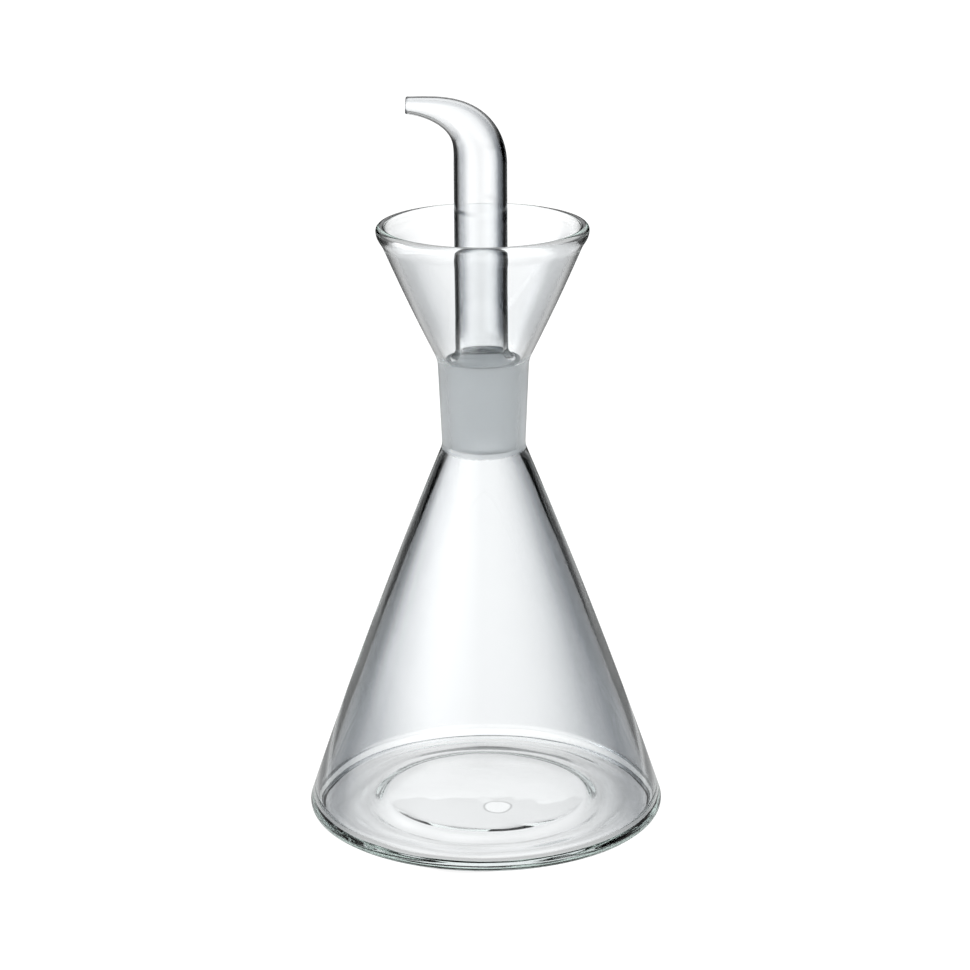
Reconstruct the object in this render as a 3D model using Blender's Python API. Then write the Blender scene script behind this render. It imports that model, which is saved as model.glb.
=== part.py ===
"""Glass oil cruet: a conical flask with a funnel mouth, and a hollow pourer whose ground cone sits in the flask's neck.

Metres, +Z up. The origin is on the flask's axis, at the height of the ring that it stands on. The spout points to -X.
"""

import math

import bmesh
import bpy
from mathutils import Vector

# Flask, outside
BASE_RADIUS = 0.0475
CORNER_RADIUS = 0.0020
CONE_TOP_RADIUS = 0.0113
CONE_TOP_HEIGHT = 0.1002
CONE_BULGE = 0.0009
NECK_BOTTOM_RADIUS = 0.0109
NECK_BOTTOM_HEIGHT = 0.1012
NECK_TOP_RADIUS = 0.0119
NECK_TOP_HEIGHT = 0.1245
RIM_RADIUS = 0.0275
RIM_HEIGHT = 0.1600
RIM_BEAD_RADIUS = 0.0013
FUNNEL_BULGE = 0.00035

# Flask, inside. The inset is from the base's outline to the inner corner's
INNER_INSET = 0.0027
WALL_AT_NECK = 0.0024
INNER_CORNER_RADIUS = 0.0030
SOCKET_BOTTOM_RADIUS = 0.00875
SOCKET_TOP_RADIUS = 0.00985

# The pushed-up bottom: a flat ring to stand on, a step, and a slight dome inside it. The step is softer above
STEP_OUTER_RADIUS = 0.0305
STEP_INNER_RADIUS = 0.0255
STEP_HEIGHT = 0.0020
DOME_RISE = 0.0006
FLOOR_THICKNESS = 0.0018
INNER_STEP_OUTER_RADIUS = 0.0332
INNER_STEP_INNER_RADIUS = 0.0228

# Pourer
JOINT_GAP = 0.0003
COLLAR_BOTTOM_HEIGHT = 0.1010
COLLAR_WALL = 0.0016
SHOULDER_RISE = 0.0029
SHOULDER_HEIGHT = 0.1250
TUBE_RADIUS = 0.00685
TUBE_WALL = 0.0011
TUBE_OFFSET = -0.00043
BEND_HEIGHT = 0.1760
BEND_RISE = 0.0110
TIP_X = -0.01895
TIP_HEIGHT = 0.1910
TIP_WALL = 0.00085
TIP_PULL = 0.0102
TIP_ANGLE = math.radians(2.9)

# The spout's outer radius falls along its curve as a cubic Bezier with these four ends
SPOUT_RADII = (TUBE_RADIUS, 0.0065, 0.0030, 0.00224)

# How finely each curve is divided
FLASK_SIDES = 64
POURER_SIDES = 40
CORNER_STEPS = 5
CONE_STEPS = 5
FUNNEL_STEPS = 3
STEP_STEPS = 4
DOME_STEPS = 2
BEAD_STEPS = 7
SHOULDER_STEPS = 5
SPOUT_STEPS = 14

GLASS_COLOUR = (0.93, 0.955, 0.965, 1.0)
GLASS_IOR = 1.47


def mix(a, b, t):
    return a + (b - a) * t


def smooth(t):
    return t * t * (3 - 2 * t)


def arc(centre, radius, start, end, steps):
    """Points (r, z) of a circular arc, its two ends included. Angles are in degrees, 0 along +r and 90 along +z."""
    angles = [math.radians(mix(start, end, i / steps)) for i in range(steps + 1)]
    return [(centre[0] + radius * math.cos(a), centre[1] + radius * math.sin(a)) for a in angles]


def bowed(start, end, bulge, steps):
    """Points (r, z) of a nearly straight line that swells outwards by bulge at its middle, without its two ends."""
    shares = [i / steps for i in range(1, steps)]
    return [(mix(start[0], end[0], t) + bulge * 4 * t * (1 - t), mix(start[1], end[1], t)) for t in shares]


def bottom_height(r, step_outer, step_inner):
    """How far the bottom is pushed up at radius r, by a step between two radii and the dome inside it."""
    if r >= step_outer:
        return 0.0
    if r >= step_inner:
        return STEP_HEIGHT * smooth((step_outer - r) / (step_outer - step_inner))
    return STEP_HEIGHT + DOME_RISE * (1 - (r / step_inner) ** 2)


def bottom(step_outer, step_inner):
    """Points (r, z) of the pushed-up bottom, from the axis outwards over the step."""
    dome = [step_inner * i / DOME_STEPS for i in range(DOME_STEPS)]
    step = [mix(step_inner, step_outer, i / STEP_STEPS) for i in range(STEP_STEPS + 1)]
    return [(r, bottom_height(r, step_outer, step_inner)) for r in dome + step]


def cone_lean():
    """The cone's angle from the vertical where it leaves the base corner, in degrees."""
    inwards = BASE_RADIUS - CONE_TOP_RADIUS - 4 * CONE_BULGE
    return math.degrees(math.atan2(inwards, CONE_TOP_HEIGHT - CORNER_RADIUS))


def flask_outside():
    """The outer outline, from the axis under the bottom to the funnel's wall just below the rim."""
    under = bottom(STEP_OUTER_RADIUS, STEP_INNER_RADIUS)
    corner_centre = (BASE_RADIUS - CORNER_RADIUS, CORNER_RADIUS)
    corner = arc(corner_centre, CORNER_RADIUS, -90, cone_lean(), CORNER_STEPS)
    cone_top = (CONE_TOP_RADIUS, CONE_TOP_HEIGHT)
    neck_bottom = (NECK_BOTTOM_RADIUS, NECK_BOTTOM_HEIGHT)
    neck_top = (NECK_TOP_RADIUS, NECK_TOP_HEIGHT)
    cone = bowed(corner[-1], cone_top, CONE_BULGE, CONE_STEPS) + [cone_top]
    funnel = bowed(neck_top, rim_bead()[0], FUNNEL_BULGE, FUNNEL_STEPS)
    return under + corner + cone + [neck_bottom, neck_top] + funnel


def rim_bead():
    """The fire-polished bead at the rim, from its outer foot over the top to its inner foot."""
    centre = (RIM_RADIUS - RIM_BEAD_RADIUS, RIM_HEIGHT - RIM_BEAD_RADIUS)
    return arc(centre, RIM_BEAD_RADIUS, -50, 190, BEAD_STEPS)


def flask_inside():
    """The inner outline, from below the rim down to the middle of the floor."""
    socket_top = (SOCKET_TOP_RADIUS, NECK_TOP_HEIGHT)
    socket_bottom = (SOCKET_BOTTOM_RADIUS, NECK_BOTTOM_HEIGHT)
    funnel = bowed(rim_bead()[-1], socket_top, FUNNEL_BULGE, FUNNEL_STEPS)
    corner_centre = (BASE_RADIUS - INNER_INSET - INNER_CORNER_RADIUS, FLOOR_THICKNESS + INNER_CORNER_RADIUS)
    corner = arc(corner_centre, INNER_CORNER_RADIUS, cone_lean(), -90, CORNER_STEPS)
    cone_top = (CONE_TOP_RADIUS - WALL_AT_NECK, CONE_TOP_HEIGHT)
    cone = [cone_top] + bowed(cone_top, corner[0], CONE_BULGE, CONE_STEPS)
    above = bottom(INNER_STEP_OUTER_RADIUS, INNER_STEP_INNER_RADIUS)
    floor = [(r, z + FLOOR_THICKNESS) for r, z in reversed(above)]
    return funnel + [socket_top, socket_bottom] + cone + corner + floor


def collar_radius(height):
    """The outer radius of the pourer's ground cone, which follows the flask's socket with a gap."""
    share = (height - NECK_BOTTOM_HEIGHT) / (NECK_TOP_HEIGHT - NECK_BOTTOM_HEIGHT)
    return mix(SOCKET_BOTTOM_RADIUS, SOCKET_TOP_RADIUS, share) - JOINT_GAP


def upright_ring(radius, height, offset=0.0):
    """(centre, axis, radius) of a level ring on the pourer's upright part."""
    return Vector((offset, 0, height)), Vector((0, 0, 1)), radius


def bezier(ends, t):
    """The point, or the number, at share t of a cubic Bezier curve."""
    shares = ((1 - t) ** 3, 3 * (1 - t) ** 2 * t, 3 * (1 - t) * t**2, t**3)
    return sum((share * end for share, end in zip(shares[1:], ends[1:])), shares[0] * ends[0])


def spout_ends():
    """The control points of the spout's centre line, from the top of the straight tube to the tip."""
    start = Vector((TUBE_OFFSET, 0, BEND_HEIGHT))
    tip = Vector((TIP_X, 0, TIP_HEIGHT))
    out_of_tip = Vector((math.cos(TIP_ANGLE), 0, -math.sin(TIP_ANGLE)))
    return start, start + BEND_RISE * Vector((0, 0, 1)), tip + TIP_PULL * out_of_tip, tip


def spout_rings(start_wall, tip_wall):
    """Rings along the spout's curve, a wall's thickness inside its outer surface."""
    ends = spout_ends()
    rings = []
    for i in range(SPOUT_STEPS + 1):
        t = i / SPOUT_STEPS
        before = bezier(ends, t - 0.001)
        after = bezier(ends, t + 0.001)
        radius = bezier(SPOUT_RADII, t) - mix(start_wall, tip_wall, t)
        rings.append((bezier(ends, t), (after - before).normalized(), radius))
    return rings


def shoulder_rings(collar, tube, height):
    """Rings of the trumpet-shaped shoulder, a quarter of an ellipse from the collar's radius in to the tube's."""
    rings = []
    for i in range(SHOULDER_STEPS + 1):
        turn = math.radians(90 * i / SHOULDER_STEPS)
        radius = mix(collar, tube, math.sin(turn))
        level = height + SHOULDER_RISE * (1 - math.cos(turn))
        rings.append(upright_ring(radius, level, TUBE_OFFSET * i / SHOULDER_STEPS))
    return rings


def pourer_outside():
    return [
        upright_ring(collar_radius(COLLAR_BOTTOM_HEIGHT), COLLAR_BOTTOM_HEIGHT),
        *shoulder_rings(collar_radius(SHOULDER_HEIGHT), TUBE_RADIUS, SHOULDER_HEIGHT),
        *spout_rings(0.0, 0.0),
    ]


def pourer_inside():
    level = SHOULDER_HEIGHT - TUBE_WALL
    rings = [
        upright_ring(collar_radius(COLLAR_BOTTOM_HEIGHT) - COLLAR_WALL, COLLAR_BOTTOM_HEIGHT),
        *shoulder_rings(collar_radius(level) - COLLAR_WALL, TUBE_RADIUS - TUBE_WALL, level),
        *spout_rings(TUBE_WALL, TIP_WALL),
    ]
    return list(reversed(rings))


def glass(name):
    material = bpy.data.materials.new(name)
    material.use_nodes = True
    shader = material.node_tree.nodes["Principled BSDF"]
    shader.inputs["Base Color"].default_value = GLASS_COLOUR
    shader.inputs["Roughness"].default_value = 0.02
    shader.inputs["Metallic"].default_value = 0.0
    shader.inputs["Transmission Weight"].default_value = 1.0
    shader.inputs["IOR"].default_value = GLASS_IOR
    return material


def finished(name, bm, material):
    """Turns a bmesh into a named, smooth-shaded object of the scene."""
    bmesh.ops.recalc_face_normals(bm, faces=bm.faces)
    mesh = bpy.data.meshes.new(name)
    bm.to_mesh(mesh)
    bm.free()
    mesh.shade_smooth()
    mesh.set_sharp_from_angle(angle=math.radians(40))
    mesh.materials.append(material)
    obj = bpy.data.objects.new(name, mesh)
    bpy.context.scene.collection.objects.link(obj)
    return obj


def turned(name, outline, sides, material):
    """A solid of revolution about +Z, from an outline (r, z) that starts and ends on the axis."""
    bm = bmesh.new()
    corners = [bm.verts.new((r, 0, z)) for r, z in outline]
    edges = [bm.edges.new(pair) for pair in zip(corners, corners[1:])]
    bmesh.ops.spin(
        bm, geom=corners + edges, cent=(0, 0, 0), axis=(0, 0, 1), angle=2 * math.pi, steps=sides, use_merge=True
    )
    bmesh.ops.remove_doubles(bm, verts=bm.verts, dist=1e-6)
    return finished(name, bm, material)


def skinned(name, rings, sides, material):
    """A closed skin through a loop of rings, each (centre, axis, radius) with its axis in the XZ plane."""
    bm = bmesh.new()
    loops = []
    for centre, axis, radius in rings:
        side = Vector((0, 1, 0))
        across = side.cross(axis)
        angles = [2 * math.pi * i / sides for i in range(sides)]
        loops.append(
            [bm.verts.new(centre + radius * (math.cos(a) * across + math.sin(a) * side)) for a in angles]
        )
    for lower, upper in zip(loops, loops[1:] + loops[:1]):
        for i in range(sides):
            j = (i + 1) % sides
            bm.faces.new((lower[i], lower[j], upper[j], upper[i]))
    return finished(name, bm, material)


def main():
    for obj in list(bpy.data.objects):
        bpy.data.objects.remove(obj)
    flask_outline = flask_outside() + rim_bead() + flask_inside()
    turned("flask", flask_outline, FLASK_SIDES, glass("flask_glass"))
    skinned("pourer", pourer_outside() + pourer_inside(), POURER_SIDES, glass("pourer_glass"))


main()
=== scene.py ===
"""Looks of the glass oil cruet: smooth clear glass, ground faces in the neck, and a white studio."""

import math

import bmesh
import bpy
from mathutils import Matrix, Vector, noise


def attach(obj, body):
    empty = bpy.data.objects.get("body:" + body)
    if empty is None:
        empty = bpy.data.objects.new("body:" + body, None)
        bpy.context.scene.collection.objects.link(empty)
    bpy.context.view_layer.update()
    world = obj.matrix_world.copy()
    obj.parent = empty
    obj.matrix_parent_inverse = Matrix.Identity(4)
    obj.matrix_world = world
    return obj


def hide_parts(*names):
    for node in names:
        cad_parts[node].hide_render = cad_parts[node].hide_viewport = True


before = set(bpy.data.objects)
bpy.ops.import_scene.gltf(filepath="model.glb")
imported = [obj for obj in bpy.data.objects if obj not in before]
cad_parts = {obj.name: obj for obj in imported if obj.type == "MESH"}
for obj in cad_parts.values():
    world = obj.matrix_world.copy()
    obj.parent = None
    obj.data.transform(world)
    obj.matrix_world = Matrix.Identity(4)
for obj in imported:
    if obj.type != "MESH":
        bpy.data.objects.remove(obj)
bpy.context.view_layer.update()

# Flask, outside, in metres. The base, cone and neck, and the rim's radius and height, are the solid's own
BASE_RADIUS = 0.0475
CORNER_RADIUS = 0.0020
CONE_TOP_RADIUS = 0.0113
CONE_TOP_HEIGHT = 0.1002
CONE_BULGE = 0.0009
NECK_BOTTOM_RADIUS = 0.0109
NECK_BOTTOM_HEIGHT = 0.1012
NECK_TOP_RADIUS = 0.0119
NECK_TOP_HEIGHT = 0.1245
RIM_RADIUS = 0.0275
RIM_HEIGHT = 0.1600
RIM_BEAD_WIDTH = 0.0026
RIM_BEAD_RISE = 0.0013
BEAD_SIDE_REACH = 1.3
FUNNEL_TOP_RADIUS = 0.0270
FUNNEL_TOP_HEIGHT = 0.1577
RIM_FOOT_SHARE = 0.90
FUNNEL_BULGE = 0.00035
THROAT_INSET = 0.0002
THROAT_REACH = 0.0012
MOUTH_REACH = 0.0018

# Flask, inside. The inset is from the base's outline to the inner corner's
INNER_INSET = 0.0027
WALL_AT_NECK = 0.0024
WALL_AT_RIM = 0.0022
INNER_CORNER_RADIUS = 0.0026
SOCKET_BOTTOM_RADIUS = 0.00875
SOCKET_TOP_RADIUS = 0.00985
SOCKET_END_REACH = 0.0004

# The pushed-up bottom
STEP_OUTER_RADIUS = 0.0307
STEP_INNER_RADIUS = 0.0263
STEP_HEIGHT = 0.0020
DOME_RISE = 0.0006
FLOOR_THICKNESS = 0.0015
INNER_STEP_OUTER_RADIUS = 0.0332
INNER_STEP_INNER_RADIUS = 0.0250
FLOOR_MARGIN = 0.0001

# Pourer
GROUND_GAP = 0.00005
COLLAR_BOTTOM_HEIGHT = 0.1010
COLLAR_WALL = 0.0016
SHOULDER_RISE = 0.0029
SHOULDER_HEIGHT = 0.1250
SHOULDER_SLOPE = 0.15
SHOULDER_GROUND_RINGS = 4
TUBE_RADIUS = 0.00685
TUBE_WALL = 0.0011
TUBE_OFFSET = -0.00043
BEND_HEIGHT = 0.1760
BEND_RISE = 0.0110
TIP_X = -0.01895
TIP_HEIGHT = 0.1910
TIP_WALL = 0.00085
TIP_PULL = 0.0102
TIP_ANGLE = math.radians(2.9)
SPOUT_RADII = (TUBE_RADIUS, 0.0065, 0.0030, 0.00224)
TIP_END_DEPTH = 0.0001
FOOT_GROUND = 0.4

# Waves that hand-blown glass shows, as heights of its inner faces
WALL_WAVE = 0.00004
WALL_WAVES_ROUND = 2.2
WALL_WAVE_LENGTH = 0.011
FLOOR_WAVE = 0.00028
FLOOR_WAVE_LENGTH = 0.013
RIPPLES = ((0.0352, 0.0030, 0.00045), (0.0395, 0.0018, 0.00030), (0.0422, 0.0009, 0.00016))
RIPPLE_MIDDLE = 0.6
RIPPLE_SPREAD = 0.5
RIPPLE_WAVES = 1.3
RIPPLE_STEP = 400
LENS_PLACE = (0.0031, -0.0054)
LENS_RADIUS = 0.0037
LENS_RISE = 0.0001

# How much painted shade greys the glass where it is seen at a slant, and how much its ground faces scatter
# back
FUNNEL_SHADE = 0.55
RIM_CLEAR_DEPTH = 0.007
FOOT_CLEAR_HEIGHT = 0.010
SHOULDER_SHADE = 0.05
SOCKET_SCATTER = 0.60
COLLAR_SCATTER = 0.40
NECK_SHADE = 0.25
TIP_SHADE = 0.2
SPOUT_SHADE_START = 0.003
CORNER_SHADE_START = 0.8
CORNER_SHADE_SPAN = 0.4

# Painted shade at a slant, as shares of the clear colour: strength, least, slant where they rise again, slant
# where the glass is clear again
FLASK_INSIDE_GREYS = (1.85, 0.60, 0.60, 1.0)
FLASK_OUTSIDE_GREYS = (1.85, 0.60, 0.50, 0.74)
POURER_INSIDE_GREYS = (3.6, 0.45, 0.60, 1.0)
POURER_OUTSIDE_GREYS = (3.9, 0.0, 0.60, 0.85)
GREY_STEPS = 15

# Glass, clear and matt
GLASS_IOR = 1.47
CLEAR_COLOUR = (0.985, 0.99, 0.995)
# Powers that turn the painted slant shade a little blue
CLEAR_POWERS = (1.0, 0.96, 0.91)
MATT_COLOUR = (0.95, 0.98, 1.0, 1.0)
DEPTH_COLOUR = (0.78, 0.92, 0.86, 1.0)
DEPTH_DENSITY = 14.0
GRAIN_SCALE = 1500.0
GRAIN_DETAIL = 3.0
CHIP_SCALE = 900.0
CHIP_DETAIL = 2.0
CHIP_SHARE = 0.5
MATT_EDGE = (0.62, 0.80)
MATT_ROUGHNESS = (0.30, 0.55)
MATT_BUMP_DEPTH = 0.0002
MATT_BUMP_STRENGTH = 0.3

# How finely the glass is divided. The bottom's points run from the axis outwards
FLASK_SIDES = 200
POURER_SIDES = 160
DOME_POINTS = 24
STEP_POINTS = 14
FLAT_POINTS = 30
CORNER_STEPS = 14
CONE_STEPS = 40
INNER_CONE_STEPS = 60
NECK_STEPS = 12
NECK_END_STEPS = 8
SOCKET_STEPS = 16
SOCKET_END_STEPS = 5
UNDER_POINTS = DOME_POINTS + STEP_POINTS + FLAT_POINTS
ON_AXIS = 1e-9

# Stage. Greys over a distance from the axis, a height or an angle are (place, grey)
WHITE = (1.0, 1.0, 1.0, 1.0)
FLOOR_LEVEL = -0.0003
FLOOR_SIZE = 12.0
FLOOR_REFLECTED = (
    (0.0, 0.8),
    (0.038, 0.7),
    (0.046, 0.62),
    (0.056, 0.55),
    (0.066, 0.28),
    (0.080, 0.22),
    (0.095, 0.60),
    (0.12, 0.65),
    (0.20, 0.60),
    (0.30, 0.60),
    (0.42, 0.10),
    (0.62, 0.05),
    (0.80, 0.12),
    (1.40, 0.0),
)
FLOOR_STRENGTH = 1.12
WORLD_COLOUR = (0.98, 0.99, 1.0, 1.0)
WORLD_DARK_BELOW = 0.10
WORLD_WHITE_ABOVE = 0.26
SCREEN_RADIUS = 0.10
SCREEN_HEIGHT = 0.10
SCREEN_PASSED = ((0.0, 0.20), (0.035, 0.28), (0.055, 0.75), (0.10, 1.0))
SCREEN_STEPS = 96
PANEL_RADIUS = 0.42
PANEL_HEIGHT = 0.42
PANEL_FULL_SHARE = 0.6
PANEL_STRENGTH = 4.4
PANEL_LIGHT = ((5, 0.0), (25, 0.3), (44, 0.62), (75, 0.70), (98, 0.9), (122, 0.0))
PANEL_STEPS = 48

# Painted shadow and light that the glass bottom throws on the floor under itself
BANDS = (
    (0.0, 1.0),
    (0.026, 1.0),
    (0.031, 0.78),
    (0.034, 0.92),
    (0.037, 0.75),
    (0.041, 0.92),
    (0.0435, 0.82),
    (0.046, 1.0),
)
BAND_WAVES = 28.0
BAND_SHIFT = 0.006
EDGE_WAVES = 90.0
EDGE_SHIFT = 0.008
EDGE_SOFTNESS = 0.0006
FRONT_FADE = (0.027, 0.024)
FRONT_DIM = 0.15
LENS_CLEAR_SHARE = 0.85
LENS_RING_WIDTH = 0.0005
LENS_RING_DIM = 0.35

# Bounces of light. The first two are compared with whole numbers, so they stand between them
SOME_BOUNCES = 0.5
MANY_BOUNCES = 3.5
MOST_BOUNCES = 32
MOST_REFLECTIONS = 16

# Places of a Mix node's two inputs and its output, by the kind of what is mixed
MIX_SOCKETS = {"FLOAT": (2, 3, 0), "RGBA": (6, 7, 2)}

# Camera, fitted to the outlines in the photograph
CAMERA_PLACE = Vector((0.000236, -0.77648, 0.334398))
CAMERA_PITCH = 0.304973
CAMERA_ROLL = -0.006261
CAMERA_LENS = 114.75
SENSOR_WIDTH = 36.0


def mix(a, b, t):
    return a + (b - a) * t


def smooth(t):
    return t * t * (3 - 2 * t)


def soft_step(t):
    """A smooth rise from 0 where t is 0 to 1 where t is 1, level before and after."""
    return smooth(min(1.0, max(0.0, t)))


def arc(centre, radius, start, end, steps):
    """Points (r, z) of an arc with both its ends. Angles are in degrees, 0 along +r and 90 along +z."""
    angles = [math.radians(mix(start, end, i / steps)) for i in range(steps + 1)]
    return [(centre[0] + radius * math.cos(a), centre[1] + radius * math.sin(a)) for a in angles]


def bowed(start, end, bulge, steps, first=0, last=None):
    """Points (r, z) of a nearly straight line that swells outwards by bulge at its middle."""
    last = steps if last is None else last
    shares = [i / steps for i in range(first, last + 1)]
    return [(mix(start[0], end[0], t) + bulge * 4 * t * (1 - t), mix(start[1], end[1], t)) for t in shares]


def eased(before, corner, after, reach, steps=6):
    """Points that round a corner of an outline: a short curve that starts and ends a reach away from it."""
    corner = Vector(corner)
    start = corner + (Vector(before) - corner).normalized() * reach
    end = corner + (Vector(after) - corner).normalized() * reach
    points = []
    for i in range(steps + 1):
        t = i / steps
        points.append(tuple((1 - t) ** 2 * start + 2 * t * (1 - t) * corner + t * t * end))
    return points


def bottom_height(r, step_outer=STEP_OUTER_RADIUS, step_inner=STEP_INNER_RADIUS):
    """How far the bottom is pushed up at radius r, with a step between two radii."""
    if r >= step_outer:
        return 0.0
    if r >= step_inner:
        return STEP_HEIGHT * smooth((step_outer - r) / (step_outer - step_inner))
    return STEP_HEIGHT + DOME_RISE * (1 - (r / step_inner) ** 2)


def bottom_radii(outer):
    """Radii from the axis out to outer, close together over the step."""
    dome = [STEP_INNER_RADIUS * i / DOME_POINTS for i in range(DOME_POINTS)]
    step = [mix(STEP_INNER_RADIUS, STEP_OUTER_RADIUS, i / STEP_POINTS) for i in range(STEP_POINTS)]
    flat = [mix(STEP_OUTER_RADIUS, outer, i / FLAT_POINTS) for i in range(FLAT_POINTS)]
    return dome + step + flat


def cone_lean():
    """The cone's angle from the vertical where it leaves the base corner."""
    return math.atan2(BASE_RADIUS - CONE_TOP_RADIUS - 4 * CONE_BULGE, CONE_TOP_HEIGHT - CORNER_RADIUS)


def funnel_line(foot, top, steps=26, first=3):
    """Points (r, z) of a funnel wall's face, from just above its foot up to where the rim's bead begins."""
    return [
        (mix(foot[0], top[0], t) + FUNNEL_BULGE * 4 * t * (1 - t), mix(foot[1], top[1], t))
        for t in (RIM_FOOT_SHARE * i / steps for i in range(first, steps + 1))
    ]


def bead_side(wall, equator, steps=12):
    """Points (r, z) of an S-shaped curve from a wall's face to the bead's widest place, less its ends."""
    out = (equator[1] - wall[-1][1]) / 3
    lean = (wall[-1][0] - wall[-2][0]) / (wall[-1][1] - wall[-2][1])
    before = (wall[-1][0] + lean * out, wall[-1][1] + out)
    after = (equator[0], equator[1] - BEAD_SIDE_REACH * out)
    ends = [Vector(p) for p in (wall[-1], before, after, equator)]
    return [tuple(bezier(ends, i / steps)) for i in range(1, steps)]


def bead_top(steps=26):
    """Points (r, z) of the rounded rim, from its widest place outside over the top to its innermost place."""
    half = RIM_BEAD_WIDTH / 2
    over = arc((0, 0), 1, 0, 180, steps)
    return [(RIM_RADIUS - half + half * x, RIM_HEIGHT - RIM_BEAD_RISE * (1 - y)) for x, y in over]


def flask_outside():
    """The outer outline, from the axis under the bottom up over the rim."""
    lean = math.degrees(cone_lean())
    corner = arc((BASE_RADIUS - CORNER_RADIUS, CORNER_RADIUS), CORNER_RADIUS, -90, lean, CORNER_STEPS)
    under = [(r, bottom_height(r)) for r in bottom_radii(corner[0][0])]
    cone_top = (CONE_TOP_RADIUS, CONE_TOP_HEIGHT)
    neck_bottom = (NECK_BOTTOM_RADIUS, NECK_BOTTOM_HEIGHT)
    neck_top = (NECK_TOP_RADIUS, NECK_TOP_HEIGHT)
    cone = bowed(corner[-1], cone_top, CONE_BULGE, CONE_STEPS, 1, CONE_STEPS - 1)
    tuck = ((cone_top[0] + neck_bottom[0]) / 2 - THROAT_INSET, neck_bottom[1])
    throat = eased(cone[-1], tuck, neck_top, THROAT_REACH, NECK_END_STEPS)
    funnel = funnel_line(neck_top, (FUNNEL_TOP_RADIUS, FUNNEL_TOP_HEIGHT))
    bead = bead_top()
    neck = bowed(throat[-1], neck_top, 0, NECK_STEPS, 1, NECK_STEPS - 2)
    mouth = eased(neck[-1], neck_top, funnel[0], MOUTH_REACH, NECK_END_STEPS)
    return under + corner + cone + throat + neck + mouth + funnel + bead_side(funnel, bead[0]) + bead


def flask_inside():
    """The inner outline from the rim down, in three parts: funnel, ground socket, and cone with floor."""
    lean = cone_lean()
    socket_top = (SOCKET_TOP_RADIUS, NECK_TOP_HEIGHT)
    socket_bottom = (SOCKET_BOTTOM_RADIUS, NECK_BOTTOM_HEIGHT)
    funnel = funnel_line(socket_top, (FUNNEL_TOP_RADIUS - WALL_AT_RIM, FUNNEL_TOP_HEIGHT))
    funnel = list(reversed(funnel + bead_side(funnel, bead_top()[-1])))
    corner_centre = (BASE_RADIUS - INNER_INSET - INNER_CORNER_RADIUS, FLOOR_THICKNESS + INNER_CORNER_RADIUS)
    corner = arc(corner_centre, INNER_CORNER_RADIUS, math.degrees(lean), -90, CORNER_STEPS)
    cone_top = (CONE_TOP_RADIUS - WALL_AT_NECK, CONE_TOP_HEIGHT)
    cone = bowed(cone_top, corner[0], CONE_BULGE, INNER_CONE_STEPS, 1, INNER_CONE_STEPS - 1)
    upper = eased(funnel[-1], socket_top, socket_bottom, SOCKET_END_REACH, SOCKET_END_STEPS)
    lower = eased(socket_top, socket_bottom, cone[1], SOCKET_END_REACH, SOCKET_END_STEPS)
    socket = bowed(upper[-1], lower[0], 0, SOCKET_STEPS, 1, SOCKET_STEPS - 1)
    floor = []
    for r in reversed(bottom_radii(corner[-1][0])):
        rise = bottom_height(r, INNER_STEP_OUTER_RADIUS, INNER_STEP_INNER_RADIUS)
        floor.append((r, rise + FLOOR_THICKNESS))
    return funnel + upper[:1], upper[1:] + socket + lower, cone + corner + floor


def collar_radius(height):
    """The outer radius of the pourer's ground cone, which follows the flask's socket with a hair's gap."""
    share = (height - NECK_BOTTOM_HEIGHT) / (NECK_TOP_HEIGHT - NECK_BOTTOM_HEIGHT)
    return mix(SOCKET_BOTTOM_RADIUS, SOCKET_TOP_RADIUS, share) - GROUND_GAP


def bezier(ends, t):
    """The point, or the number, at share t of a cubic Bezier curve."""
    shares = ((1 - t) ** 3, 3 * (1 - t) ** 2 * t, 3 * (1 - t) * t**2, t**3)
    return sum((share * end for share, end in zip(shares[1:], ends[1:])), shares[0] * ends[0])


def upright_ring(radius, height, offset=0.0):
    """(centre, axis, radius) of a level ring on the pourer's upright part."""
    return Vector((offset, 0, height)), Vector((0, 0, 1)), radius


def spout_rings(start_wall, tip_wall, steps=72):
    """Rings along the spout's curve, a wall's thickness inside its outer surface."""
    start = Vector((TUBE_OFFSET, 0, BEND_HEIGHT))
    tip = Vector((TIP_X, 0, TIP_HEIGHT))
    out_of_tip = Vector((math.cos(TIP_ANGLE), 0, -math.sin(TIP_ANGLE)))
    ends = (start, start + BEND_RISE * Vector((0, 0, 1)), tip + TIP_PULL * out_of_tip, tip)
    rings = []
    near = 0.001
    for i in range(steps + 1):
        t = i / steps
        axis = (bezier(ends, t + near) - bezier(ends, t - near)).normalized()
        radius = bezier(SPOUT_RADII, t) - mix(start_wall, tip_wall, t)
        rings.append((bezier(ends, t), axis, radius))
    return rings


def shoulder_rings(collar, tube, height, steps=16):
    """Rings of the trumpet-shaped shoulder, between a quarter of an ellipse and a straight slope."""
    rings = []
    for i in range(steps + 1):
        turn = math.radians(90 * i / steps)
        radius = mix(collar, tube, math.sin(turn))
        level = height + SHOULDER_RISE * mix(1 - math.cos(turn), math.sin(turn), SHOULDER_SLOPE)
        rings.append(upright_ring(radius, level, TUBE_OFFSET * i / steps))
    return rings


def tube_rings(radius, start, end, steps=24):
    """Rings of the straight tube, without its two ends."""
    heights = [mix(start, end, i / steps) for i in range(1, steps)]
    return [upright_ring(radius, height, TUBE_OFFSET) for height in heights]


def lip_rings(place, outer, inner, steps=6):
    """A rounded edge between an outer and an inner ring: half a turn in the plane of the wall."""
    centre, axis, _ = place
    middle, half = (outer + inner) / 2, (outer - inner) / 2
    rings = []
    for i in range(1, steps):
        turn = math.pi * i / steps
        rings.append((centre + axis * half * math.sin(turn), axis, middle + half * math.cos(turn)))
    return rings


def collar_rings(outer, steps=20):
    """Rings of the ground cone, outside or inside, from its lower end up, without its upper end."""
    rings = []
    for i in range(steps):
        height = mix(COLLAR_BOTTOM_HEIGHT, SHOULDER_HEIGHT, i / steps)
        rings.append(upright_ring(collar_radius(height) - (0 if outer else COLLAR_WALL), height))
    return rings


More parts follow.
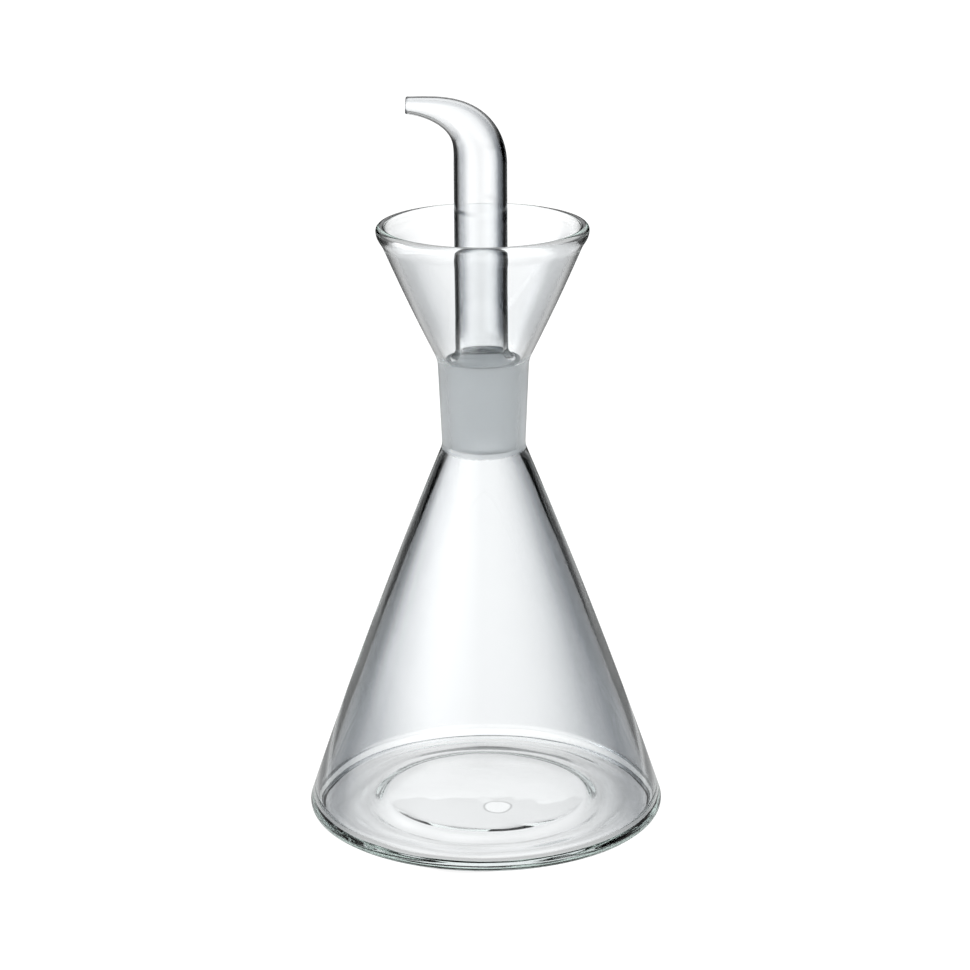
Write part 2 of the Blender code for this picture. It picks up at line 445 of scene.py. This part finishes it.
def pourer_rings():
    """The loop of rings of the whole pourer, each with its shares of ground face and of outer face."""
    collar = collar_rings(True)
    shoulder = shoulder_rings(collar_radius(SHOULDER_HEIGHT), TUBE_RADIUS, SHOULDER_HEIGHT)
    outside = shoulder + tube_rings(TUBE_RADIUS, SHOULDER_HEIGHT + SHOULDER_RISE, BEND_HEIGHT)
    outside += spout_rings(0.0, 0.0)
    bore = spout_rings(TUBE_WALL, TIP_WALL)
    level = SHOULDER_HEIGHT - TUBE_WALL
    inside = collar_rings(False)
    inside += shoulder_rings(collar_radius(level) - COLLAR_WALL, TUBE_RADIUS - TUBE_WALL, level)
    inside += tube_rings(TUBE_RADIUS - TUBE_WALL, level + SHOULDER_RISE, BEND_HEIGHT)
    tip = lip_rings(outside[-1], outside[-1][2], bore[-1][2])
    foot = lip_rings(collar[0], inside[0][2], collar[0][2])
    foot = [(centre - 2 * (centre - collar[0][0]), axis, radius) for centre, axis, radius in foot]
    loop = [(ring, 1.0, 1.0) for ring in collar]
    loop += [(ring, 1.0, 1.0) for ring in outside[:SHOULDER_GROUND_RINGS]]
    loop += [(ring, 0.0, 1.0) for ring in outside[SHOULDER_GROUND_RINGS:] + tip]
    loop += [(ring, 0.0, 0.0) for ring in list(reversed(bore)) + list(reversed(inside))]
    return loop + [(ring, FOOT_GROUND, 0.0) for ring in foot]


def pourer_shade(centre):
    """How much painted shade greys the pourer at a slant: fully on the tube and at the tip's end, less in
    between.
    """
    if centre.x < TIP_X + TIP_END_DEPTH:
        return 1.0
    low = soft_step((centre.z - SHOULDER_HEIGHT - SHOULDER_RISE) / (2 * SHOULDER_RISE))
    bent = soft_step((centre.z - BEND_HEIGHT - SPOUT_SHADE_START) / BEND_RISE)
    return mix(SHOULDER_SHADE, 1.0, low) * mix(1.0, TIP_SHADE, bent)


def object_of(name, bm, material):
    """Turns a bmesh into an object of the scene."""
    mesh = bpy.data.meshes.new(name)
    bm.to_mesh(mesh)
    bm.free()
    mesh.materials.append(material)
    obj = bpy.data.objects.new(name, mesh)
    bpy.context.scene.collection.objects.link(obj)
    return obj


def finished(name, bm, material):
    """Turns a closed bmesh into a smooth object of the scene."""
    bmesh.ops.recalc_face_normals(bm, faces=bm.faces)
    obj = object_of(name, bm, material)
    obj.data.shade_smooth()
    return obj


def bump_at(distance, width):
    """A smooth bump, 1 where distance is 0 and 0 beyond width."""
    return soft_step(1 - abs(distance) / width)


def floor_relief(r, angle):
    """Height of the waves, ripples and lens mark on the flask's inner floor."""
    place = Vector((r * math.cos(angle), r * math.sin(angle), 0))
    height = FLOOR_WAVE * noise.noise(place / FLOOR_WAVE_LENGTH)
    for radius, width, rise in RIPPLES:
        around = Vector((math.cos(angle), math.sin(angle), radius * RIPPLE_STEP)) * RIPPLE_WAVES
        fade = RIPPLE_MIDDLE + RIPPLE_SPREAD * noise.noise(around)
        height += rise * fade * bump_at(r - radius, width)
    away = math.hypot(place.x - LENS_PLACE[0], place.y - LENS_PLACE[1])
    return height + LENS_RISE * bump_at(away, LENS_RADIUS)


def wall_relief(z, angle):
    """How far the inner face of the wall stands in or out."""
    around = (WALL_WAVES_ROUND * math.cos(angle), WALL_WAVES_ROUND * math.sin(angle))
    return WALL_WAVE * noise.noise(Vector((*around, z / WALL_WAVE_LENGTH)))


def flask_shade(z, kind):
    """How much painted shade greys the flask at a slant: fully on the cone, less on the funnel, not on the
    bottom.
    """
    if kind in ("floor", "under"):
        return 0.0
    if z > NECK_TOP_HEIGHT:
        rim = soft_step(1 - (RIM_HEIGHT - z) / RIM_CLEAR_DEPTH)
        foot = soft_step(1 - (z - NECK_TOP_HEIGHT) / FOOT_CLEAR_HEIGHT)
        return FUNNEL_SHADE * (1 - rim) * (1 - foot)
    if z > NECK_BOTTOM_HEIGHT:
        return NECK_SHADE
    top = FLOOR_THICKNESS + INNER_CORNER_RADIUS if kind == "wall" else CORNER_RADIUS
    return soft_step((z - CORNER_SHADE_START * top) / (CORNER_SHADE_SPAN * top))


def value_layers(bm):
    """Layers for each point's values: share of ground face, painted shade at a slant, and outer face or not.
    """
    return [bm.verts.layers.float.new(name) for name in ("ground", "shade", "outer")]


def valued_point(bm, place, layers, values):
    """A new point with its values."""
    point = bm.verts.new(place)
    for layer, value in zip(layers, values):
        point[layer] = value
    return point


def turned(name, outline, sides, material):
    """A closed solid of revolution from an outline (r, z, kind) that starts and ends on the axis."""
    bm = bmesh.new()
    layers = value_layers(bm)
    rings = []
    for r, z, kind in outline:
        if r < ON_AXIS:
            rings.append([bm.verts.new((0, 0, z + (floor_relief(0, 0) if kind == "floor" else 0)))])
            continue
        values = (1.0 if kind == "ground" else 0.0, flask_shade(z, kind), 1.0 if kind == "plain" else 0.0)
        ring = []
        for i in range(sides):
            angle = 2 * math.pi * i / sides
            out = r + (wall_relief(z, angle) if kind == "wall" else 0)
            up = z + (floor_relief(r, angle) if kind == "floor" else 0)
            place = (out * math.cos(angle), out * math.sin(angle), up)
            ring.append(valued_point(bm, place, layers, values))
        rings.append(ring)
    for lower, upper in zip(rings, rings[1:]):
        for i in range(sides):
            j = (i + 1) % sides
            below = [lower[0]] if len(lower) == 1 else [lower[i], lower[j]]
            above = [upper[0]] if len(upper) == 1 else [upper[j], upper[i]]
            bm.faces.new(below + above)
    return finished(name, bm, material)


def skinned(name, rings, sides, material):
    """A closed skin through a loop of rings, each with its shares of ground face and of outer face."""
    bm = bmesh.new()
    layers = value_layers(bm)
    loops = []
    for (centre, axis, radius), share, outside in rings:
        side = Vector((0, 1, 0))
        across = side.cross(axis)
        values = (share, pourer_shade(centre), outside)
        loop = []
        for i in range(sides):
            angle = 2 * math.pi * i / sides
            place = centre + radius * (math.cos(angle) * across + math.sin(angle) * side)
            loop.append(valued_point(bm, place, layers, values))
        loops.append(loop)
    for lower, upper in zip(loops, loops[1:] + loops[:1]):
        for i in range(sides):
            j = (i + 1) % sides
            bm.faces.new((lower[i], lower[j], upper[j], upper[i]))
    return finished(name, bm, material)


def node(material, kind, **values):
    """Adds a shader node and sets its inputs by name, with _ for a space."""
    made = material.node_tree.nodes.new(kind)
    for key, value in values.items():
        made.inputs[key.replace("_", " ")].default_value = value
    return made


def fill(material, socket, value):
    """Links an output to an input, or sets the input to a number or a colour."""
    if hasattr(value, "links"):
        material.node_tree.links.new(value, socket)
    else:
        socket.default_value = value


def math_node(material, operation, first, second):
    """A Math node of two values or outputs."""
    made = material.node_tree.nodes.new("ShaderNodeMath")
    made.operation = operation
    for socket, value in zip(made.inputs, (first, second)):
        fill(material, socket, value)
    return made.outputs[0]


def product(material, first, *others):
    """The product of values or outputs."""
    for other in others:
        first = math_node(material, "MULTIPLY", first, other)
    return first


def mixed(material, kind, factor, first, second):
    """A number or a colour, by kind, mixed from two values or outputs by a factor."""
    made = material.node_tree.nodes.new("ShaderNodeMix")
    made.data_type = kind
    start, end, result = MIX_SOCKETS[kind]
    for socket, value in ((0, factor), (start, first), (end, second)):
        fill(material, made.inputs[socket], value)
    return made.outputs[result]


def ramp_of(material, share, stops):
    """A ramp of colours over a share from 0 to 1, from stops (place, colour) that run from first to last."""
    ramp = material.node_tree.nodes.new("ShaderNodeValToRGB")
    material.node_tree.links.new(share, ramp.inputs["Fac"])
    elements = ramp.color_ramp.elements
    for i, (place, colour) in enumerate(stops):
        position = (place - stops[0][0]) / (stops[-1][0] - stops[0][0])
        element = elements[i] if i < 2 else elements.new(position)
        element.position = position
        element.color = (*colour, 1.0)
    return ramp.outputs["Color"]


def grey_ramp(material, share, stops):
    """A ramp of greys over a share from 0 to 1, from stops (place, grey)."""
    return ramp_of(material, share, [(place, (grey, grey, grey)) for place, grey in stops])


def ranged(material, value, start, end, low=0.0, high=1.0):
    """A value moved from the range start to end onto the range low to high."""
    made = node(material, "ShaderNodeMapRange", From_Min=start, From_Max=end, To_Min=low, To_Max=high)
    material.node_tree.links.new(value, made.inputs["Value"])
    return made.outputs["Result"]


def coordinates(material, kind):
    """The place on the object, or the direction in the world, by the coordinate's kind."""
    return node(material, "ShaderNodeTexCoord").outputs[kind]


def parts_of(material, vector):
    """The X, Y and Z outputs of a vector output."""
    parts = node(material, "ShaderNodeSeparateXYZ")
    material.node_tree.links.new(vector, parts.inputs[0])
    return parts.outputs


def length_of(material, vector):
    """The length of a vector output."""
    made = material.node_tree.nodes.new("ShaderNodeVectorMath")
    made.operation = "LENGTH"
    material.node_tree.links.new(vector, made.inputs[0])
    return made.outputs["Value"]


def noise_over(material, place, scale, detail):
    """Soft noise over a place, from about 0 to 1."""
    made = node(material, "ShaderNodeTexNoise", Scale=scale, Detail=detail)
    material.node_tree.links.new(place, made.inputs["Vector"])
    return made.outputs["Fac"]


def waves_of(material, place, scale, height):
    """Soft waves over a place, from about -height to height."""
    waves = math_node(material, "SUBTRACT", noise_over(material, place, scale, 1.0), 0.5)
    return math_node(material, "MULTIPLY", waves, 2 * height)


def mesh_value(material, name):
    """The value that the mesh carries under a name."""
    made = node(material, "ShaderNodeAttribute")
    made.attribute_name = name
    return made.outputs["Fac"]


def slant_greys(strength, least, back, back_to):
    """Greys of painted shade, by steps of slant: down to least, then up to 1 between back and back_to."""
    greys = []
    for i in range(GREY_STEPS + 1):
        slant = i / GREY_STEPS
        passed = max(least, 1 - strength * slant * slant)
        greys.append(mix(passed, 1.0, soft_step((slant - back) / (back_to - back))))
    return greys


def painted_slant_shade(material, facing, greys):
    """Painted shade: the glass colour darkened by the angle it is seen at, from face on to edge on, from the
    slant's greys.
    """
    stops = []
    for i, passed in enumerate(greys):
        passed = passed ** 2
        stops.append((i, [clear * passed ** power for clear, power in zip(CLEAR_COLOUR, CLEAR_POWERS)]))
    return ramp_of(material, facing, stops)


def glass(name, inside_greys, outside_greys, scatter):
    """Clear glass with painted shade where it is seen at a slant, matt where the mesh's ground value is high.
    The matt face scatters a share back.
    """
    material = bpy.data.materials.new(name)
    material.use_nodes = True
    links = material.node_tree.links
    shader = material.node_tree.nodes["Principled BSDF"]
    shader.inputs["IOR"].default_value = GLASS_IOR

    place = coordinates(material, "Object")
    grain = noise_over(material, place, GRAIN_SCALE, GRAIN_DETAIL)
    chips = noise_over(material, place, CHIP_SCALE, CHIP_DETAIL)
    chipped = math_node(material, "MULTIPLY", chips, CHIP_SHARE)
    ragged = math_node(material, "ADD", mesh_value(material, "ground"), chipped)
    matt = ranged(material, ragged, *MATT_EDGE)

    # Painted shade: the base colour greys where the glass is seen at a slant, as far as the mesh's shade
    # value goes, with other greys on outer faces
    facing = node(material, "ShaderNodeLayerWeight", Blend=0.5).outputs["Facing"]
    inside = painted_slant_shade(material, facing, slant_greys(*inside_greys))
    outside = painted_slant_shade(material, facing, slant_greys(*outside_greys))
    slanted = mixed(material, "RGBA", mesh_value(material, "outer"), inside, outside)
    clear = mixed(material, "RGBA", mesh_value(material, "shade"), (*CLEAR_COLOUR, 1.0), slanted)
    links.new(mixed(material, "RGBA", matt, clear, MATT_COLOUR), shader.inputs["Base Color"])

    through = math_node(material, "SUBTRACT", 1.0, product(material, matt, scatter))
    links.new(through, shader.inputs["Transmission Weight"])
    rough = ranged(material, grain, 0.0, 1.0, *MATT_ROUGHNESS)
    links.new(product(material, rough, matt), shader.inputs["Roughness"])

    bump = node(material, "ShaderNodeBump", Distance=MATT_BUMP_DEPTH)
    links.new(product(material, matt, MATT_BUMP_STRENGTH), bump.inputs["Strength"])
    links.new(grain, bump.inputs["Height"])
    links.new(bump.outputs["Normal"], shader.inputs["Normal"])

    depth = node(material, "ShaderNodeVolumeAbsorption", Color=DEPTH_COLOUR, Density=DEPTH_DENSITY)
    links.new(depth.outputs["Volume"], material.node_tree.nodes["Material Output"].inputs["Volume"])
    return material


def kinds(points, kind):
    return [(r, z, kind) for r, z in points]


def build_flask():
    funnel, socket, lower = flask_inside()
    floor_top = FLOOR_THICKNESS + STEP_HEIGHT + DOME_RISE + FLOOR_MARGIN
    outside = flask_outside()
    outline = kinds(outside[:UNDER_POINTS], "under") + kinds(outside[UNDER_POINTS:], "plain")
    outline += kinds(funnel, "wall") + kinds(socket, "ground")
    outline += [(r, z, "floor" if z < floor_top else "wall") for r, z in lower]
    material = glass("flask_glass", FLASK_INSIDE_GREYS, FLASK_OUTSIDE_GREYS, SOCKET_SCATTER)
    flask = turned("flask_glass_body", outline, FLASK_SIDES, material)
    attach(flask, "root")
    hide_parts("flask")


def build_pourer():
    material = glass("pourer_glass", POURER_INSIDE_GREYS, POURER_OUTSIDE_GREYS, COLLAR_SCATTER)
    pourer = skinned("pourer_glass_body", pourer_rings(), POURER_SIDES, material)
    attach(pourer, "root")
    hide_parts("pourer")


def blank(block, output="ShaderNodeOutputMaterial"):
    """Leaves a new material or world no nodes but its output."""
    block.use_nodes = True
    block.node_tree.nodes.clear()
    block.node_tree.nodes.new(output)
    return block


def emission(block, colour, strength):
    """An emission of a colour whose strength is an output."""
    light = node(block, "ShaderNodeEmission", Color=colour)
    block.node_tree.links.new(strength, light.inputs["Strength"])
    return light.outputs[0]


def give_surface(block, shader):
    """Links a shader's output to the surface of a material or a world."""
    out = next(n for n in block.node_tree.nodes if n.type in ("OUTPUT_MATERIAL", "OUTPUT_WORLD"))
    block.node_tree.links.new(shader, out.inputs["Surface"])


def reflected_light(material):
    """1 for light that smooth glass has reflected one to three times and nothing has scattered, else 0."""
    path = node(material, "ShaderNodeLightPath")
    bounces = path.outputs["Glossy Depth"]
    reflected = math_node(material, "GREATER_THAN", bounces, SOME_BOUNCES)
    few = math_node(material, "LESS_THAN", bounces, MANY_BOUNCES)
    unscattered = math_node(material, "LESS_THAN", path.outputs["Diffuse Depth"], SOME_BOUNCES)
    return product(material, reflected, few, unscattered)


def painted_light_through_bottom(material, place):
    """The floor's brightness: white, with painted shadow bands and waves, as the bottom throws them under
    itself.
    """
    away = length_of(material, place)
    shifted = math_node(material, "ADD", away, waves_of(material, place, BAND_WAVES, BAND_SHIFT))
    bands = grey_ramp(material, math_node(material, "DIVIDE", shifted, BANDS[-1][0]), BANDS)

    depth = parts_of(material, place)["Y"]
    edge = math_node(material, "ADD", depth, waves_of(material, place, EDGE_WAVES, EDGE_SHIFT))
    front = ranged(material, edge, EDGE_SOFTNESS, -EDGE_SOFTNESS)
    near = ranged(material, away, *FRONT_FADE)

    # Painted shadow: the front of the floor under the bottom dims, and a dark ring lies round the lens mark
    moved = material.node_tree.nodes.new("ShaderNodeVectorMath")
    moved.operation = "SUBTRACT"
    material.node_tree.links.new(place, moved.inputs[0])
    moved.inputs[1].default_value = (*LENS_PLACE, 0)
    from_lens = length_of(material, moved.outputs["Vector"])
    off_lens = ranged(material, from_lens, LENS_RADIUS * LENS_CLEAR_SHARE, LENS_RADIUS)
    front_dim = product(material, front, near, off_lens, FRONT_DIM)

    off_ring = math_node(material, "SUBTRACT", from_lens, LENS_RADIUS)
    off_ring = math_node(material, "ABSOLUTE", off_ring, 0.0)
    ring_dim = product(material, ranged(material, off_ring, LENS_RING_WIDTH, 0.0), LENS_RING_DIM)

    dimmed = math_node(material, "SUBTRACT", bands, front_dim)
    dimmed = math_node(material, "SUBTRACT", dimmed, ring_dim)
    return product(material, dimmed, FLOOR_STRENGTH)


def floor_material():
    """A white floor, with painted shadow and light that the glass throws on it. The glass reflects other
    greys of it.
    """
    material = blank(bpy.data.materials.new("pale_floor"))
    place = coordinates(material, "Object")
    share = math_node(material, "DIVIDE", length_of(material, place), FLOOR_REFLECTED[-1][0])
    dimmed = grey_ramp(material, share, FLOOR_REFLECTED)
    lit = painted_light_through_bottom(material, place)
    strength = mixed(material, "FLOAT", reflected_light(material), lit, dimmed)
    give_surface(material, emission(material, WHITE, strength))
    return material


def world_light():
    """Soft white light from all round, whose reflections in the glass are dark near the horizon."""
    world = blank(bpy.data.worlds.new("studio"), "ShaderNodeOutputWorld")
    height = parts_of(world, coordinates(world, "Generated"))["Z"]
    high = ranged(world, height, WORLD_DARK_BELOW, WORLD_WHITE_ABOVE)
    strength = mixed(world, "FLOAT", reflected_light(world), 1.0, high)
    give_surface(world, emission(world, WORLD_COLOUR, strength))
    return world


def floor_plane():
    """The square floor, centred under the cruet."""
    bm = bmesh.new()
    half = FLOOR_SIZE / 2
    corners = ((-half, -half), (half, -half), (half, half), (-half, half))
    bm.faces.new([bm.verts.new((x, y, 0)) for x, y in corners])
    obj = object_of("floor", bm, floor_material())
    obj.location = (0, 0, FLOOR_LEVEL)


def wall(name, places, height, material):
    """An upright stage wall through places (distance, angle from the front to the left)."""
    bm = bmesh.new()
    columns = []
    for away, angle in places:
        x, y = -away * math.sin(angle), -away * math.cos(angle)
        columns.append([bm.verts.new((x, y, z)) for z in (0.0, height)])
    for first, second in zip(columns, columns[1:]):
        bm.faces.new((first[0], second[0], second[1], first[1]))
    obj = object_of(name, bm, material)
    obj.visible_camera = False
    obj.visible_diffuse = False
    obj.visible_shadow = False


def low_screen():
    """A dark screen round the cruet. It only dims what the lower glass reflects of the floor beyond it."""
    material = blank(bpy.data.materials.new("low_screen"))
    height = parts_of(material, coordinates(material, "Object"))["Z"]
    passed = grey_ramp(material, math_node(material, "DIVIDE", height, SCREEN_HEIGHT), SCREEN_PASSED)
    clear = node(material, "ShaderNodeBsdfTransparent")
    fill(material, clear.inputs["Color"], mixed(material, "RGBA", reflected_light(material), WHITE, passed))
    give_surface(material, clear.outputs[0])
    angles = [2 * math.pi * i / SCREEN_STEPS for i in range(SCREEN_STEPS + 1)]
    wall("low_screen", [(SCREEN_RADIUS, a) for a in angles], SCREEN_HEIGHT, material)


def light_panel():
    """A curved soft light to the left of the cruet. It shows only as a reflection in the glass."""
    material = blank(bpy.data.materials.new("light_panel"))
    parts = parts_of(material, coordinates(material, "Object"))
    left = math_node(material, "MULTIPLY", parts["X"], -1.0)
    front = math_node(material, "MULTIPLY", parts["Y"], -1.0)
    turn = math_node(material, "ARCTAN2", left, front)
    first, last = (math.radians(PANEL_LIGHT[i][0]) for i in (0, -1))
    greys = grey_ramp(material, ranged(material, turn, first, last), PANEL_LIGHT)
    top = ranged(material, parts["Z"], PANEL_HEIGHT, PANEL_HEIGHT * PANEL_FULL_SHARE)
    strength = product(material, greys, top, reflected_light(material), PANEL_STRENGTH)
    added = node(material, "ShaderNodeAddShader")
    clear = node(material, "ShaderNodeBsdfTransparent")
    fill(material, added.inputs[0], emission(material, WHITE, strength))
    fill(material, added.inputs[1], clear.outputs[0])
    give_surface(material, added.outputs[0])
    angles = [mix(first, last, i / PANEL_STEPS) for i in range(PANEL_STEPS + 1)]
    wall("light_panel", [(PANEL_RADIUS, a) for a in angles], PANEL_HEIGHT, material)


def studio():
    floor_plane()
    light_panel()
    low_screen()
    bpy.context.scene.world = world_light()


def camera():
    right = Vector((1, 0, 0))
    forward = Vector((0, math.cos(CAMERA_PITCH), -math.sin(CAMERA_PITCH)))
    up = right.cross(forward)
    x_axis = math.cos(CAMERA_ROLL) * right + math.sin(CAMERA_ROLL) * up
    y_axis = -math.sin(CAMERA_ROLL) * right + math.cos(CAMERA_ROLL) * up
    data = bpy.data.cameras.new("camera")
    data.lens = CAMERA_LENS
    data.sensor_width = SENSOR_WIDTH
    obj = bpy.data.objects.new("camera", data)
    turn = Matrix((x_axis, y_axis, -forward)).transposed()
    obj.matrix_world = Matrix.Translation(CAMERA_PLACE) @ turn.to_4x4()
    bpy.context.scene.collection.objects.link(obj)
    bpy.context.scene.camera = obj


def light_paths():
    """Enough bounces for light to pass every wall, and plain colours on the screen."""
    scene = bpy.context.scene
    scene.view_settings.view_transform = "Standard"
    scene.cycles.max_bounces = MOST_BOUNCES
    scene.cycles.transmission_bounces = MOST_BOUNCES
    scene.cycles.glossy_bounces = MOST_REFLECTIONS
    scene.cycles.diffuse_bounces = MOST_REFLECTIONS
    scene.cycles.transparent_max_bounces = MOST_BOUNCES
    scene.cycles.caustics_reflective = True
    scene.cycles.caustics_refractive = True
    scene.cycles.use_denoising = True


def main():
    build_flask()
    build_pourer()
    studio()
    camera()
    light_paths()


main()
